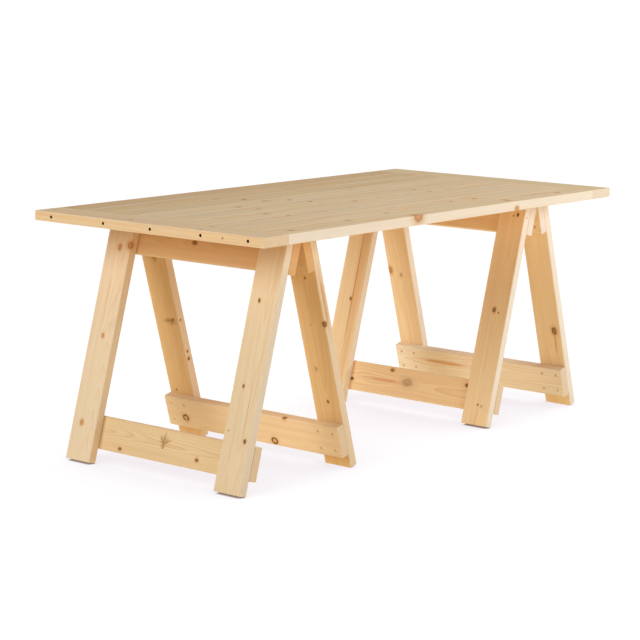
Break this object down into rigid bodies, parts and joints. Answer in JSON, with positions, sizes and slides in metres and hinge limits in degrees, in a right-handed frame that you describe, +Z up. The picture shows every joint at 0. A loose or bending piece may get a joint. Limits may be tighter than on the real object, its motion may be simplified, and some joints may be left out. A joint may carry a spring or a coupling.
{
  "type": "folding trestle table",
  "caption": "Loose pine board top with end cleats resting on A-shaped folding trestles of hinged plank frames; the top lifts off and the trestles fold flat.",
  "frame": {"origin": "on the floor, under the middle of the top, midway between the trestles", "axes": "+X along the top's length, +Y from front to back, +Z up"},
  "size_m": [1.66, 0.855, 0.71],
  "materials": {
    "pine_top": "planed, bare",
    "pine_frame": "planed, bare",
    "hinge_steel": "zinc plated",
    "screw_steel": "dulled zinc"
  },
  "bodies": {
    "left_hinge_pins": {"left_back_hinge_pin": "hinge_steel", "left_front_hinge_pin": "hinge_steel"},
    "left_outer_frame": {"left_outer_back_hinge_leaf": "hinge_steel", "left_outer_back_leg": "pine_frame", "left_outer_frame_screws": "screw_steel", "left_outer_front_hinge_leaf": "hinge_steel", "left_outer_front_leg": "pine_frame", "left_outer_hinge_screws": "screw_steel", "left_outer_lower_rail": "pine_frame", "left_outer_top_rail": "pine_frame"},
    "left_inner_frame": {"left_inner_back_hinge_leaf": "hinge_steel", "left_inner_back_leg": "pine_frame", "left_inner_frame_screws": "screw_steel", "left_inner_front_hinge_leaf": "hinge_steel", "left_inner_front_leg": "pine_frame", "left_inner_hinge_screws": "screw_steel", "left_inner_lower_rail": "pine_frame", "left_inner_top_rail": "pine_frame"},
    "table_top": {"left_end_cleat": "pine_top", "left_end_cleat_screws": "screw_steel", "right_end_cleat": "pine_top", "right_end_cleat_screws": "screw_steel", "top_board_1": "pine_top", "top_board_2": "pine_top", "top_board_3": "pine_top", "top_board_4": "pine_top", "top_board_5": "pine_top", "top_board_6": "pine_top", "top_board_7": "pine_top", "top_board_8": "pine_top", "top_board_9": "pine_top"},
    "right_hinge_pins": {"right_back_hinge_pin": "hinge_steel", "right_front_hinge_pin": "hinge_steel"},
    "right_outer_frame": {"right_outer_back_hinge_leaf": "hinge_steel", "right_outer_back_leg": "pine_frame", "right_outer_frame_screws": "screw_steel", "right_outer_front_hinge_leaf": "hinge_steel", "right_outer_front_leg": "pine_frame", "right_outer_hinge_screws": "screw_steel", "right_outer_lower_rail": "pine_frame", "right_outer_top_rail": "pine_frame"},
    "right_inner_frame": {"right_inner_back_hinge_leaf": "hinge_steel", "right_inner_back_leg": "pine_frame", "right_inner_frame_screws": "screw_steel", "right_inner_front_hinge_leaf": "hinge_steel", "right_inner_front_leg": "pine_frame", "right_inner_hinge_screws": "screw_steel", "right_inner_lower_rail": "pine_frame", "right_inner_top_rail": "pine_frame"}
  },
  "joints": [
    {"name": "left_outer_fold", "type": "hinge", "parent": "left_hinge_pins", "child": "left_outer_frame", "pos_m": [-0.565, 0, 0.67061], "axis": [0, -1, 0], "range_deg": [0, 16]},
    {"name": "left_inner_fold", "type": "hinge", "parent": "left_hinge_pins", "child": "left_inner_frame", "pos_m": [-0.565, 0, 0.67061], "axis": [0, 1, 0], "range_deg": [0, 16]},
    {"name": "top_lift", "type": "slide", "parent": "left_hinge_pins", "child": "table_top", "axis": [0, 0, 1], "range_m": [0, 0.15]},
    {"name": "right_trestle_seat", "type": "slide", "parent": "table_top", "child": "right_hinge_pins", "axis": [0, 0, -1], "range_m": [0, 0.15]},
    {"name": "right_outer_fold", "type": "hinge", "parent": "right_hinge_pins", "child": "right_outer_frame", "pos_m": [0.565, 0, 0.67061], "axis": [0, 1, 0], "range_deg": [0, 16]},
    {"name": "right_inner_fold", "type": "hinge", "parent": "right_hinge_pins", "child": "right_inner_frame", "pos_m": [0.565, 0, 0.67061], "axis": [0, -1, 0], "range_deg": [0, 16]}
  ],
  "couplings": [
    {"joint": "left_inner_fold", "follows": "left_outer_fold", "ratio": 1},
    {"joint": "right_inner_fold", "follows": "right_outer_fold", "ratio": 1},
    {"joint": "right_trestle_seat", "follows": "top_lift", "ratio": 1}
  ]
}
